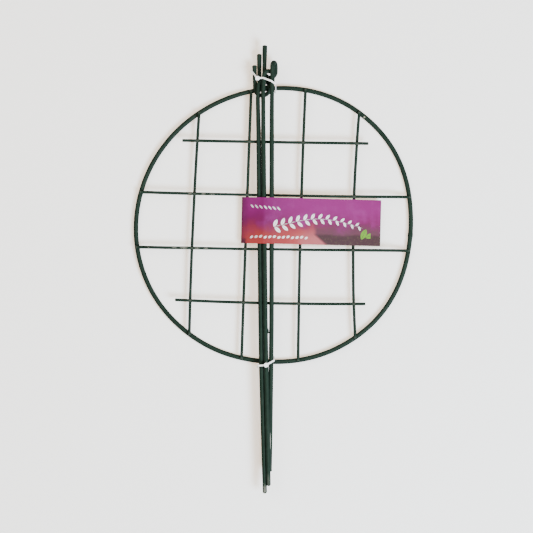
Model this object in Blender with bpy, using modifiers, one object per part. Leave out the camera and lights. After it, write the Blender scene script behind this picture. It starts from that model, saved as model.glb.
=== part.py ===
"""Grow-through plant grid, flat as it is sold.

A coated steel hoop carries four upright grid wires and four crossbars, lap welded
on its front. Three stakes with bent hooks lie over the grid, two nylon ties bind
them to the hoop, and a card sleeve slides on the stakes and three of the uprights.

Units are metres. +X is right, +Y runs up towards the hooks and +Z is the front.
The part lies on the undersides of the two ties, at Z = 0.
"""

import math

import bmesh
import bpy
from mathutils import Vector

# Wire and gaps between pieces
HOOP_WIRE = 0.0062
GRID_WIRE = 0.0036
LEG_WIRE = 0.0062
GAP = 0.0003

# Hoop: mean radius of the wire's centre line, and how far it is out of round
HOOP_RADIUS = 0.1947
HOOP_WAVES = ((2, 0.00214, 38.3), (3, 0.00195, -58.0), (4, 0.00080, 42.8))
HOOP_POINTS = 96

# Grid: upright wires by their sideways place at the top, the middle and the bottom
UPRIGHTS = (
    (-0.1066, -0.1154, -0.1207),
    (-0.0333, -0.0403, -0.0470),
    (0.0433, 0.0364, 0.0329),
    (0.1193, 0.1109, 0.1134),
)
UPRIGHT_OVERRUN = 0.0012
# Crossbars by their height at the left, the middle and the right
CROSSBARS = {
    "crossbar_top": (0.1194, 0.1170, 0.1150),
    "crossbar_upper": (0.0467, 0.0418, 0.0396),
    "crossbar_lower": (-0.0309, -0.0340, -0.0361),
    "crossbar_bottom": (-0.1053, -0.1101, -0.1111),
}
SHORT_BARS = ("crossbar_top", "crossbar_bottom")
BAR_OVERHANG_LEFT = 0.0215
BAR_OVERHANG_RIGHT = 0.0165
BAR_OVERRUN = 0.0020
JOGGLE_LENGTH = 0.0120
JOGGLE_LAND = 0.0050

# Stakes: lengths below the hoop and the bends of the hooks
BUNDLE_TOP = -0.0165
BUNDLE_MIDDLE = -0.0123
BUNDLE_BOTTOM = -0.0087
STAKE_REACH = 0.1747
STAKE_BEND = -0.1973
LEFT_DROP = 0.0106
RIGHT_RISE = 0.0199
ARCH_RADIUS = 0.0070
LEFT_TAIL = 0.0429
MIDDLE_TAIL = 0.0481
RIGHT_TAIL = 0.0457

# Nylon ties
BAND_WIDTH = 0.0026
BAND_THICKNESS = 0.0012
HEAD_LENGTH = 0.0060
HEAD_WIDTH = 0.0060
HEAD_HEIGHT = 0.0045

# Card sleeve
CARD_LEFT = -0.0468
CARD_WIDTH = 0.1963
CARD_HEIGHT = 0.0650
CARD_THICKNESS = 0.0005
CARD_LOW_EDGE = -0.0275
CARD_TURN = math.radians(-1.35)

# Heights above the surface, worked out from the stack of wires
HOOP_Z = BAND_THICKNESS + GAP + HOOP_WIRE / 2
HOOP_FRONT = HOOP_Z + HOOP_WIRE / 2
UPRIGHT_Z = HOOP_FRONT + GAP + GRID_WIRE / 2
CROSSBAR_Z = UPRIGHT_Z + GRID_WIRE + GAP
STAKE_Z = CROSSBAR_Z + (GRID_WIRE + LEG_WIRE) / 2 + GAP + 0.0002
HOOK_Z = HOOP_FRONT + LEG_WIRE / 2 + GAP

GREEN = ("green_coating", (0.030, 0.062, 0.045), 0.35, 0.0)
NYLON = ("white_nylon", (0.80, 0.80, 0.78), 0.40, 0.0)
CARD = ("printed_card", (0.40, 0.06, 0.24), 0.55, 0.0)


def clear_scene():
    """Remove every object, so that the model starts empty."""
    for thing in list(bpy.data.objects):
        bpy.data.objects.remove(thing, do_unlink=True)


def new_collection(name):
    """Make a collection and link it to the scene."""
    made = bpy.data.collections.new(name)
    bpy.context.scene.collection.children.link(made)
    return made


def material(finish):
    """Return the Principled material of a finish, made once."""
    name, colour, roughness, metallic = finish
    made = bpy.data.materials.get(name)
    if made is None:
        made = bpy.data.materials.new(name)
        made.use_nodes = True
        shader = made.node_tree.nodes["Principled BSDF"]
        shader.inputs["Base Color"].default_value = (*colour, 1.0)
        shader.inputs["Roughness"].default_value = roughness
        shader.inputs["Metallic"].default_value = metallic
        made.diffuse_color = (*colour, 1.0)
    return made


def place(thing, finish, collection):
    """Give an object its material and put it in its collection."""
    thing.data.materials.append(material(finish))
    collection.objects.link(thing)
    return thing


def hoop_point(turn):
    """Return the hoop's centre line at an angle, about the hoop's own centre."""
    radius = HOOP_RADIUS
    for lobes, height, phase in HOOP_WAVES:
        radius += height * math.cos(lobes * (turn - math.radians(phase)))
    return Vector((radius * math.cos(turn), radius * math.sin(turn), HOOP_Z))


def hoop_y(x, side):
    """Return the height at which the hoop's centre line passes a sideways place."""
    low, high = (0.0, math.pi) if side > 0 else (0.0, -math.pi)
    for _ in range(50):
        middle = (low + high) / 2
        if hoop_point(middle).x > x:
            low = middle
        else:
            high = middle
    return hoop_point(low).y


def hoop_x(y, side):
    """Return the sideways place at which the hoop's centre line passes a height."""
    low, high = (-math.pi / 2, math.pi / 2) if side > 0 else (1.5 * math.pi, 0.5 * math.pi)
    for _ in range(50):
        middle = (low + high) / 2
        if hoop_point(middle).y < y:
            low = middle
        else:
            high = middle
    return hoop_point(low).x


def through(first, middle, last, share):
    """Return the parabola through three values at shares 0, one half and 1."""
    return (
        first * (1 - share) * (1 - 2 * share)
        + middle * 4 * share * (1 - share)
        + last * share * (2 * share - 1)
    )


def filleted(points, radii, step=0.0010):
    """Replace each corner of a line of points by an arc of its own radius."""
    line = [points[0]]
    for index in range(1, len(points) - 1):
        corner = points[index]
        back = (points[index - 1] - corner).normalized()
        ahead = (points[index + 1] - corner).normalized()
        turn = math.pi - back.angle(ahead)
        radius = radii[index]
        if radius <= 0 or turn < 0.02:
            line.append(corner)
            continue
        centre_way = (back + ahead).normalized()
        centre = corner + centre_way * (radius / math.cos(turn / 2))
        start = corner + back * (radius * math.tan(turn / 2)) - centre
        end = corner + ahead * (radius * math.tan(turn / 2)) - centre
        count = max(3, int(math.ceil(turn * radius / step)))
        for part in range(count + 1):
            share = part / count
            first = math.sin((1 - share) * turn) / math.sin(turn)
            last = math.sin(share * turn) / math.sin(turn)
            line.append(centre + start * first + end * last)
    line.append(points[-1])
    return line


def wire(name, points, diameter, finish, collection, closed=False, origin=None):
    """Make a round wire along a line of points, with filled ends."""
    origin = origin or Vector((0, 0, 0))
    data = bpy.data.curves.new(name, "CURVE")
    data.dimensions = "3D"
    data.bevel_depth = diameter / 2
    data.bevel_resolution = 2
    data.use_fill_caps = not closed
    spline = data.splines.new("POLY")
    spline.points.add(len(points) - 1)
    for slot, point in zip(spline.points, points):
        slot.co = (*(point - origin), 1.0)
    spline.use_cyclic_u = closed
    spline.use_smooth = True
    made = bpy.data.objects.new(name, data)
    made.location = origin
    return place(made, finish, collection)


def build_hoop(collection):
    """Bend the hoop, a closed ring of wire."""
    turns = [2 * math.pi * index / HOOP_POINTS for index in range(HOOP_POINTS)]
    return wire("ring", [hoop_point(turn) for turn in turns], HOOP_WIRE, GREEN, collection, True)


def upright_line(places):
    """Return an upright's centre line from its lower weld to its upper weld."""
    top, middle, bottom = places
    low = hoop_y(bottom, -1) - UPRIGHT_OVERRUN
    high = hoop_y(top, 1) + UPRIGHT_OVERRUN
    line = []
    for part in range(7):
        share = part / 6
        line.append(Vector((through(bottom, middle, top, share), low + (high - low) * share, UPRIGHT_Z)))
    return line


def upright_x(places, y):
    """Return an upright's sideways place at a height."""
    line = upright_line(places)
    share = (y - line[0].y) / (line[-1].y - line[0].y)
    return through(places[2], places[1], places[0], share)


def crossbar_line(name, heights):
    """Return a crossbar's centre line, pressed down onto the hoop where it is long."""
    left, middle, right = heights
    if name in SHORT_BARS:
        start = upright_x(UPRIGHTS[0], left) - BAR_OVERHANG_LEFT
        end = upright_x(UPRIGHTS[3], right) + BAR_OVERHANG_RIGHT
        shares = [part / 6 for part in range(7)]
        drops = [0.0] * 7
    else:
        start = hoop_x(left, -1) - BAR_OVERRUN
        end = hoop_x(right, 1) + BAR_OVERRUN
        length = end - start
        reach = HOOP_WIRE / 2 + BAR_OVERRUN + JOGGLE_LAND
        ramp = reach + JOGGLE_LENGTH
        steps = (0.0, reach, reach + JOGGLE_LENGTH * 0.2, reach + JOGGLE_LENGTH * 0.8, ramp)
        falls = (1.0, 1.0, 0.92, 0.08, 0.0)
        shares = [step / length for step in steps]
        shares += [0.25, 0.5, 0.75]
        shares += [1 - step / length for step in reversed(steps)]
        drops = [*falls, 0.0, 0.0, 0.0, *reversed(falls)]
    line = []
    for share, drop in zip(shares, drops):
        z = CROSSBAR_Z - drop * (CROSSBAR_Z - UPRIGHT_Z)
        line.append(Vector((start + (end - start) * share, through(left, middle, right, share), z)))
    return line


def leg_plan():
    """Return the three bent stakes, each as the corners and radii of its centre line.

    A stake runs up from its tip, leans over to the right at the arch, comes down its
    limb, turns under itself through the cradle and ends in a straight free tail.
    """
    d = LEG_WIRE
    top = hoop_y(BUNDLE_TOP, 1)
    tip_y = hoop_y(BUNDLE_BOTTOM, -1) - STAKE_REACH
    middle_z = STAKE_Z + 0.75 * d
    upper_z = STAKE_Z + 1.55 * d
    plans = {
        "leg_left": {
            "tip": (BUNDLE_BOTTOM - 0.92 * d, tip_y - LEFT_DROP, STAKE_Z),
            "bend": (BUNDLE_MIDDLE - 1.18 * d, STAKE_BEND, STAKE_Z),
            "base": (BUNDLE_TOP - 1.19 * d, top - 2.10 * d, STAKE_Z),
            "arch": top + 1.72 * d,
            "cradle": top - 1.51 * d,
            "tail_length": LEFT_TAIL,
            "limb": (2.62 * d, HOOK_Z + 0.12 * d),
            "tail": (-0.57 * d, HOOK_Z + 0.36 * d),
            "lean": 0.21 * d,
            "tail_lean": -0.21 * d,
        },
        "leg_middle": {
            "tip": (BUNDLE_BOTTOM, tip_y, STAKE_Z + 0.54 * d),
            "bend": (BUNDLE_MIDDLE, STAKE_BEND, STAKE_Z + 0.50 * d),
            "base": (BUNDLE_TOP, top - 0.73 * d, middle_z),
            "arch": top + 3.95 * d,
            "cradle": top + 0.22 * d,
            "tail_length": MIDDLE_TAIL,
            "limb": (2.17 * d, middle_z - 0.30 * d),
            "tail": (-0.86 * d, HOOK_Z + 0.02 * d),
            "lean": 0.25 * d,
            "tail_lean": 0.0,
        },
        "leg_right": {
            "tip": (BUNDLE_BOTTOM + 0.25 * d, tip_y + RIGHT_RISE, HOOK_Z + 0.41 * d),
            "bend": (BUNDLE_MIDDLE + 1.22 * d, STAKE_BEND, STAKE_Z - 0.38 * d),
            "base": (BUNDLE_TOP + 1.98 * d, top - 4.83 * d, upper_z),
            "arch": top + 5.86 * d,
            "cradle": top + 2.55 * d,
            "tail_length": RIGHT_TAIL,
            "limb": (0.88 * d, HOOK_Z + 0.32 * d),
            "tail": (-1.69 * d, HOOK_Z + 0.92 * d),
            "lean": 0.125 * d,
            "tail_lean": 0.107 * d,
        },
    }
    return plans


def leg_line(plan):
    """Return a bent stake's centre line."""
    tip, bend, base = Vector(plan["tip"]), Vector(plan["bend"]), Vector(plan["base"])
    arch, cradle = plan["arch"], plan["cradle"]
    limb_x, limb_z = base.x + plan["limb"][0], plan["limb"][1]
    tail_x, tail_z = base.x + plan["tail"][0], plan["tail"][1]
    shoulder = Vector((base.x + plan["lean"], arch, base.z))
    crown = Vector((limb_x, arch, limb_z))
    heel = Vector((limb_x, cradle, limb_z))
    toe = Vector((tail_x, cradle, tail_z))
    end = Vector((tail_x + plan["tail_lean"], cradle + plan["tail_length"], tail_z))
    slack = 0.0001
    arch_radius = min(ARCH_RADIUS, (crown - shoulder).length / 2 - slack)
    turn_radius = min((toe - heel).length / 2 - slack, arch - cradle - arch_radius - 2 * slack)
    corners = [tip, bend, base, shoulder, crown, heel, toe, end]
    radii = [0, 0, 0, arch_radius, arch_radius, turn_radius, turn_radius, 0]
    return filleted(corners, radii)


def build_legs(collection):
    """Bend the three stakes, each with its origin on the line it slides along."""
    for name, plan in leg_plan().items():
        origin = Vector(plan["base"])
        wire(name, leg_line(plan), LEG_WIRE, GREEN, collection, origin=origin)


def stake_at(name, y):
    """Return where a stake's straight run passes a height."""
    plan = leg_plan()[name]
    tip, bend, base = Vector(plan["tip"]), Vector(plan["bend"]), Vector(plan["base"])
    if y < bend.y:
        return tip.lerp(bend, (y - tip.y) / (bend.y - tip.y))
    if y < base.y:
        return bend.lerp(base, (y - bend.y) / (base.y - bend.y))
    return Vector((base.x, y, base.z))


def top_tie_line():
    """Return the upper tie's loop: head, over the stakes, round the hoop and back."""
    d = LEG_WIRE
    half = BAND_THICKNESS / 2
    over = d / 2 + GAP + half
    plans = leg_plan()
    left, middle, right = plans["leg_left"], plans["leg_middle"], plans["leg_right"]
    hoop = hoop_y(right["base"][0], 1)
    tail_x = left["base"][0] + left["tail"][0]
    limb_edge = middle["base"][0] + middle["limb"][0] + d / 2
    stake_edge = right["base"][0] + d / 2
    side = max(limb_edge, stake_edge) + GAP + half + 0.0002
    clear = HOOP_WIRE / 2 + BAND_WIDTH / 2
    head = Vector((tail_x + 0.0030, hoop + 0.0132, STAKE_Z + over + 0.0004))
    return [
        head,
        Vector((middle["base"][0], hoop + 0.0136, middle["base"][2] + over)),
        Vector((right["base"][0] - 0.0009, hoop + 0.0090, right["base"][2] + over + 0.0003)),
        Vector((side, hoop + clear + 0.0002, right["base"][2] + over - 0.0008)),
        Vector((side + 0.0003, hoop - clear - 0.0022, half)),
        Vector((tail_x + 0.45 * d, hoop + 0.0174, half)),
        Vector((tail_x - 1.06 * d, hoop + 0.0250, HOOK_Z + 0.46 * d)),
        head,
    ]


def bottom_tie_line():
    """Return the lower tie's loop, whose head lies on the middle stake."""
    d = LEG_WIRE
    half = BAND_THICKNESS / 2
    over = d / 2 + GAP + half
    hoop = hoop_y(BUNDLE_MIDDLE, -1)
    left = stake_at("leg_left", hoop)
    middle = stake_at("leg_middle", hoop)
    right = stake_at("leg_right", hoop)
    clear = HOOP_WIRE / 2 + BAND_WIDTH / 2
    head = Vector((middle.x, hoop - 0.0043, middle.z + over + 0.0001))
    return [
        head,
        Vector((right.x + over, hoop + 0.0022, right.z + over - 0.0010)),
        Vector((right.x + over + 0.0003, hoop + clear + 0.0021, half)),
        Vector((left.x - over - 0.0012, hoop - clear - 0.0030, half)),
        Vector((left.x - over, hoop - clear - 0.0010, left.z + over - 0.0006)),
        head,
    ]


def tie_frames(line, radius):
    """Return the points of a tie's loop and the way its width lies at each."""
    head = line[0]
    ahead = (line[1] - head).normalized()
    behind = (line[-2] - head).normalized()
    corners = [head + ahead * 0.0005, *line[1:-1], head + behind * 0.0005]
    points = filleted(corners, [radius] * len(corners), 0.0006)
    frames = []
    for index, point in enumerate(points):
        before = points[max(index - 1, 0)]
        after = points[min(index + 1, len(points) - 1)]
        along = (after - before).normalized()
        wide = Vector((0, 1, 0)) - along * along.y
        frames.append((point, wide.normalized()))
    return frames


def build_tie(name, line, collection, cutters):
    """Make a tie: a bent strip with thickness, joined to its box-shaped head."""
    rows = bmesh.new()
    last = None
    for point, wide in tie_frames(line, 0.0018):
        pair = [rows.verts.new(point + wide * (side * BAND_WIDTH / 2)) for side in (-1, 1)]
        if last:
            rows.faces.new((last[0], last[1], pair[1], pair[0]))
        last = pair
    mesh = bpy.data.meshes.new(name)
    rows.to_mesh(mesh)
    rows.free()
    band = place(bpy.data.objects.new(name, mesh), NYLON, collection)
    solid = band.modifiers.new("thickness", "SOLIDIFY")
    solid.thickness = BAND_THICKNESS
    solid.offset = 0
    bpy.ops.mesh.primitive_cube_add(size=1)
    head = bpy.context.active_object
    head.name = name + "_head"
    for held in list(head.users_collection):
        held.objects.unlink(head)
    cutters.objects.link(head)
    for vertex in head.data.vertices:
        vertex.co.x *= HEAD_LENGTH
        vertex.co.y *= HEAD_WIDTH
        vertex.co.z *= HEAD_HEIGHT
    head.location = line[0] + Vector((0, 0, (HEAD_HEIGHT - BAND_THICKNESS) / 2))
    slope = line[1] - line[0]
    head.rotation_euler = (0, 0, math.atan2(slope.y, slope.x))
    edge = head.modifiers.new("edges", "BEVEL")
    edge.width = 0.0007
    edge.segments = 2
    head.hide_render = True
    head.display_type = "WIRE"
    joined = band.modifiers.new("head", "BOOLEAN")
    joined.operation = "UNION"
    joined.object = head
    return band


def card_profile():
    """Return the card's closed cross-section, from above the uprights round behind them."""
    middle_y = CARD_LOW_EDGE + CARD_HEIGHT / 2
    top_y = CARD_LOW_EDGE + CARD_HEIGHT + 0.003
    over = LEG_WIRE / 2 + GAP + CARD_THICKNESS / 2
    left = stake_at("leg_left", top_y)
    middle = stake_at("leg_middle", top_y)
    right = stake_at("leg_right", top_y)
    back = UPRIGHT_Z - GRID_WIRE / 2 - GAP - CARD_THICKNESS / 2
    front = UPRIGHT_Z + GRID_WIRE / 2 + GAP + CARD_THICKNESS / 2
    last_x = upright_x(UPRIGHTS[3], middle_y)
    crest = max(middle.z, right.z) + over + 0.0002
    return [
        Vector((CARD_LEFT, 0, back)),
        Vector((CARD_LEFT, 0, UPRIGHT_Z + 0.0004)),
        Vector((left.x - 0.0017, 0, left.z + over + 0.0006)),
        Vector((middle.x - 0.0006, 0, crest)),
        Vector((right.x + 0.0014, 0, crest)),
        Vector((last_x, 0, front + 0.0008)),
        Vector((CARD_LEFT + CARD_WIDTH, 0, back + 0.0018)),
        Vector((CARD_LEFT + CARD_WIDTH, 0, back)),
    ]


def build_card(collection):
    """Make the printed sleeve: a folded outline, raised to its height and thickened."""
    corners = card_profile()
    radii = [0.0009, 0.0009, 0.004, 0.004, 0.004, 0.02, 0.0007, 0.0007]
    closed = filleted([corners[-1], *corners, corners[0]], [0, *radii, 0], 0.0012)[1:-1]
    pivot = Vector((CARD_LEFT + CARD_WIDTH / 2, CARD_LOW_EDGE + CARD_HEIGHT / 2, 0))
    rows = bmesh.new()
    levels = []
    for share in (-0.5, 0.0, 0.5):
        level = []
        for point in closed:
            spot = Vector((point.x - pivot.x, share * CARD_HEIGHT, point.z))
            level.append(rows.verts.new(spot))
        levels.append(level)
    for lower, upper in zip(levels, levels[1:]):
        for index in range(len(closed)):
            after = (index + 1) % len(closed)
            rows.faces.new((lower[index], lower[after], upper[after], upper[index]))
    mesh = bpy.data.meshes.new("label_card")
    rows.to_mesh(mesh)
    rows.free()
    card = place(bpy.data.objects.new("label_card", mesh), CARD, collection)
    card.location = pivot
    card.rotation_euler = (0, 0, CARD_TURN)
    solid = card.modifiers.new("thickness", "SOLIDIFY")
    solid.thickness = CARD_THICKNESS
    solid.offset = 0
    solid.use_even_offset = True
    return card


def centre_on_surface(collections):
    """Move the whole part so that the middle of its outline lies over the origin."""
    turns = [2 * math.pi * index / HOOP_POINTS for index in range(HOOP_POINTS)]
    rim = [hoop_point(turn).x for turn in turns]
    left, right = min(rim) - HOOP_WIRE / 2, max(rim) + HOOP_WIRE / 2
    for name, heights in CROSSBARS.items():
        line = crossbar_line(name, heights)
        left = min(left, line[0].x)
        right = max(right, line[-1].x)
    tips = [plan["tip"][1] for plan in leg_plan().values()]
    tops = [plan["cradle"] + plan["tail_length"] for plan in leg_plan().values()]
    shift = Vector(((left + right) / 2, (min(tips) + max(tops)) / 2, 0))
    for collection in collections:
        for thing in collection.objects:
            thing.location -= shift


def main():
    """Build the whole part."""
    clear_scene()
    part = new_collection("grow_through_plant_grid")
    cutters = new_collection("joined_shapes")
    build_hoop(part)
    for number, places in enumerate(UPRIGHTS, 1):
        wire("upright_wire_%d" % number, upright_line(places), GRID_WIRE, GREEN, part)
    for name, heights in CROSSBARS.items():
        wire(name, crossbar_line(name, heights), GRID_WIRE, GREEN, part)
    build_legs(part)
    build_tie("cable_tie_top", top_tie_line(), part, cutters)
    build_tie("cable_tie_bottom", bottom_tie_line(), part, cutters)
    build_card(part)
    centre_on_surface((part, cutters))


main()
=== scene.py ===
"""Grow-through plant grid, tied up flat for the shop, dressed for its picture.

The coated hoop and its welded grid, the three hooked stakes, the nylon ties and
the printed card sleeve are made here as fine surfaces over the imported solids.
Units are metres, in the solids' own frame: +Y runs towards the hooks, +Z is up.
"""

import logging
import math
from dataclasses import dataclass, field
from enum import Enum
from functools import cached_property
from typing import Callable, Iterable, Mapping, Sequence

import bmesh
import bpy
from mathutils import Matrix, Vector, noise

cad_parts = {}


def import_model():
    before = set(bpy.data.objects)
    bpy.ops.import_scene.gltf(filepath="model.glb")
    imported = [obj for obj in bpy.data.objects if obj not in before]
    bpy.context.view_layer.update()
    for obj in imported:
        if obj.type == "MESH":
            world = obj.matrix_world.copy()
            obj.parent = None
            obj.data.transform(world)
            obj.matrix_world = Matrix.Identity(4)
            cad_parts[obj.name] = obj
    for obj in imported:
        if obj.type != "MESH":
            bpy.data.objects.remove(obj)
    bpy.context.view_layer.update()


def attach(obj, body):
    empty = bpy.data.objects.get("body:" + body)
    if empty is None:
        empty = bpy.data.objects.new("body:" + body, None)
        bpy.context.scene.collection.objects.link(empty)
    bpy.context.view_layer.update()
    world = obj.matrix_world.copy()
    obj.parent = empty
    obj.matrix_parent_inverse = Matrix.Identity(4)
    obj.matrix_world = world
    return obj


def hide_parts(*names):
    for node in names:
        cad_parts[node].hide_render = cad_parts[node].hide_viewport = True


LOG = logging.getLogger("plant_grid")
TAU = 2 * math.pi
UP = Vector((0, 0, 1))
ORIGIN = (0, 0, 0)
EVEN = (1, 1, 1)
# Where the wires' waver is drawn from, the same at each run.
WAVER_SEED = 7
SHORT_BARS = (0, 3)
LONG_BARS = (1, 2)
# Angles of the rings of a domed wire end, from near its pole to its rim.
DOME_TURNS = (1.45, 1.2, 0.9, 0.6, 0.3, 0.0)

Triple = tuple[float, float, float]
Line = list[Vector]
Crossing = tuple[int, int, float, float]
Socket = bpy.types.NodeSocket
Sockets = Mapping[str, Socket]
Feed = Socket | float | Sequence[float]


class Slot(Enum):
    """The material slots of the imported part."""

    COATING = "green_coating"
    NYLON = "white_nylon"
    CARD = "printed_card"


class Body(Enum):
    """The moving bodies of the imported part."""

    GRID = "grid"
    LEFT_LEG = "left_leg"
    MIDDLE_LEG = "middle_leg"
    RIGHT_LEG = "right_leg"
    SLEEVE = "sleeve"


# ---------------------------------------------------------------- lines


def through(values: Triple, share: float) -> float:
    """Return the parabola through three values at shares 0, one half and 1."""
    first, middle, last = values
    ends = first * (1 - share) * (1 - 2 * share) + last * share * (2 * share - 1)
    return ends + middle * 4 * share * (1 - share)


def filleted(points: Sequence[Vector], radii: Sequence[float], step: float) -> Line:
    """Replace each corner of a line by an arc of its own radius.

    Args:
        points: The corners.
        radii: The radius at each corner; 0 keeps the corner.
        step: Greatest distance between two points of an arc.

    Returns:
        The points of the rounded line.
    """
    line = [points[0]]
    for index in range(1, len(points) - 1):
        corner, radius = points[index], radii[index]
        back = (points[index - 1] - corner).normalized()
        ahead = (points[index + 1] - corner).normalized()
        turn = math.pi - back.angle(ahead)
        if radius <= 0 or turn < 0.003:
            line.append(corner)
            continue
        centre = corner + (back + ahead).normalized() * (radius / math.cos(turn / 2))
        start = corner + back * (radius * math.tan(turn / 2)) - centre
        end = corner + ahead * (radius * math.tan(turn / 2)) - centre
        count = max(3, int(math.ceil(turn * radius / step)))
        for part in range(count + 1):
            share = part / count
            first = math.sin((1 - share) * turn) / math.sin(turn)
            last = math.sin(share * turn) / math.sin(turn)
            line.append(centre + start * first + end * last)
    line.append(points[-1])
    return line


def resampled(points: Sequence[Vector], step: float) -> Line:
    """Return points at even steps along a line.

    Args:
        points: The line.
        step: Distance between two new points.

    Returns:
        The new points, with both ends kept.
    """
    lengths = [0.0]
    for first, second in zip(points, points[1:]):
        lengths.append(lengths[-1] + (second - first).length)
    count = max(2, int(round(lengths[-1] / step)))
    line, place = [], 0
    for part in range(count + 1):
        wanted = lengths[-1] * part / count
        while place < len(points) - 2 and lengths[place + 1] < wanted:
            place += 1
        span = max(1e-9, lengths[place + 1] - lengths[place])
        line.append(points[place].lerp(points[place + 1], min(1.0, (wanted - lengths[place]) / span)))
    return line


@dataclass(frozen=True)
class Flat:
    """A pressed flat on a wire: where, how long, how deep and facing which way."""

    place: Vector
    reach: float
    depth: float
    facing: Vector


@dataclass(frozen=True)
class Swell:
    """A swelling of a wire, or below nought a place where its coat is thinner."""

    place: Vector
    reach: float
    height: float


@dataclass(frozen=True)
class Bend:
    """One bent stake, as the corners and turns of its centre line."""

    tip: Vector
    bend: Vector
    base: Vector
    arch: float
    cradle: float
    tail_length: float
    limb: tuple[float, float]
    tail: tuple[float, float]
    lean: float
    tail_lean: float


# ---------------------------------------------------------------- layout of the wires


@dataclass(frozen=True)
class Layout:
    """The sizes of the part and the centre lines of its pieces."""

    hoop_wire: float = 0.0062
    grid_wire: float = 0.0036
    leg_wire: float = 0.0062
    gap: float = 0.0003
    thick_coat: float = 0.00028
    grid_coat: float = 0.00035
    slim_reach: float = 0.10
    hoop_slim_reach: float = 0.055
    tip_slim_reach: float = 0.06
    tail_reach: tuple = (("leg_left", 0.010), ("leg_middle", 0.026), ("leg_right", 0.030))
    nudges: tuple = (
        ("leg_left", (0.0004, 0.00058, 0.00040)),
        ("leg_middle", (0.0, 0.0, -0.00030)),
        ("leg_right", (0.0, -0.0005, 0.0)),
    )
    hoop_radius: float = 0.1947
    hoop_waves: tuple = ((2, 0.00214, 38.3), (3, 0.00195, -58.0), (4, 0.00080, 42.8))
    hoop_leans: tuple = ((27.0, 25.0, 0.0013), (327.0, 27.0, 0.0014), (246.0, 20.0, 0.0007))
    uprights: tuple = (
        (-0.1207, -0.1154, -0.1066),
        (-0.0470, -0.0403, -0.0333),
        (0.0329, 0.0364, 0.0433),
        (0.1134, 0.1109, 0.1193),
    )
    upright_overrun: float = 0.0012
    crossbars: tuple = (
        ("crossbar_top", (0.1194, 0.1170, 0.1150)),
        ("crossbar_upper", (0.0467, 0.0418, 0.0396)),
        ("crossbar_lower", (-0.0309, -0.0340, -0.0361)),
        ("crossbar_bottom", (-0.1053, -0.1101, -0.1111)),
    )
    overhang_left: float = 0.0215
    overhang_right: float = 0.0165
    bar_overrun: float = 0.0020
    joggle_length: float = 0.0120
    joggle_land: float = 0.0050
    bundle_top: float = -0.0165
    bundle_middle: float = -0.0123
    bundle_bottom: float = -0.0087
    stake_reach: float = 0.1747
    stake_bend: float = -0.1973
    left_drop: float = 0.0106
    right_rise: float = 0.0199
    arch_radius: float = 0.0070
    band_width: float = 0.0026
    band_thickness: float = 0.0012
    head_length: float = 0.0060
    head_width: float = 0.0060
    head_height: float = 0.0045
    card_left: float = -0.0468
    card_width: float = 0.1963
    card_height: float = 0.0650
    card_thickness: float = 0.0005
    card_low_edge: float = -0.0275
    card_turn: float = math.radians(-1.35)

    @property
    def hoop_z(self) -> float:
        """Return the height of the hoop's centre line."""
        return self.band_thickness + self.gap + self.hoop_wire / 2

    @property
    def upright_z(self) -> float:
        """Return the height of the uprights' centre lines."""
        return self.hoop_z + self.hoop_wire / 2 + self.gap + self.grid_wire / 2

    @property
    def crossbar_z(self) -> float:
        """Return the height of the crossbars' centre lines."""
        return self.upright_z + self.grid_wire + self.gap

    @property
    def stake_z(self) -> float:
        """Return the height of the lowest stake's centre line."""
        return self.crossbar_z + (self.grid_wire + self.leg_wire) / 2 + self.gap + 0.0002

    @property
    def hook_z(self) -> float:
        """Return the lowest height at which a hook's wire crosses the hoop."""
        return self.hoop_z + (self.hoop_wire + self.leg_wire) / 2 + self.gap

    @cached_property
    def centre(self) -> Vector:
        """Return the middle of the part's outline, which lies over the frame's origin."""
        rim = [self.hoop_point(TAU * index / 96).x for index in range(96)]
        bars = [self.crossbar_line(index, 2) for index in range(4)]
        left = min(min(rim) - self.hoop_wire / 2, *(line[0].x for line in bars))
        right = max(max(rim) + self.hoop_wire / 2, *(line[-1].x for line in bars))
        low = min(plan.tip.y for plan in self.bends.values())
        high = max(plan.cradle + plan.tail_length for plan in self.bends.values())
        return Vector(((left + right) / 2, (low + high) / 2, 0))

    def hoop_point(self, turn: float) -> Vector:
        """Return the hoop's centre line at an angle.

        Args:
            turn: Angle about the hoop's own centre, in radians.

        Returns:
            The point, about the hoop's own centre.
        """
        radius = self.hoop_radius
        for lobes, height, phase in self.hoop_waves:
            radius += height * math.cos(lobes * (turn - math.radians(phase)))
        return Vector((radius * math.cos(turn), radius * math.sin(turn), self.hoop_z))

    def settled_hoop(self, turn: float) -> Vector:
        """Return the coated hoop's centre line, inside the bare outer edge or leaning out.

        Args:
            turn: Angle about the hoop's own centre, in radians.

        Returns:
            The point, about the hoop's own centre.
        """
        point = self.hoop_point(turn)
        scale = 1 - self.thick_coat / self.hoop_radius
        for middle, reach, lean in self.hoop_leans:
            away = abs((math.degrees(turn) - middle + 180) % 360 - 180) / reach
            if away < 1:
                scale += lean * (1 - away * away) ** 2 / self.hoop_radius
        return Vector((point.x * scale, point.y * scale, point.z))

    def _reach(self, low: float, high: float, beyond: Callable[[Vector], bool]) -> Vector:
        """Return the hoop's point where a test changes.

        Args:
            low: Angle at which the test holds.
            high: Angle at which it doesn't.
            beyond: The test of a point.

        Returns:
            The point of the centre line at the change.
        """
        for _ in range(50):
            middle = (low + high) / 2
            if beyond(self.hoop_point(middle)):
                low = middle
            else:
                high = middle
        return self.hoop_point(low)

    def hoop_y(self, x: float, side: int) -> float:
        """Return where the hoop's upper half (side 1) or lower half (-1) passes x."""
        return self._reach(0.0, side * math.pi, lambda point: point.x > x).y

    def hoop_x(self, y: float, side: int) -> float:
        """Return where the hoop's right half (side 1) or left half (-1) passes y."""
        low = -math.pi / 2 if side > 0 else 1.5 * math.pi
        return self._reach(low, math.pi / 2, lambda point: point.y < y).x

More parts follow.
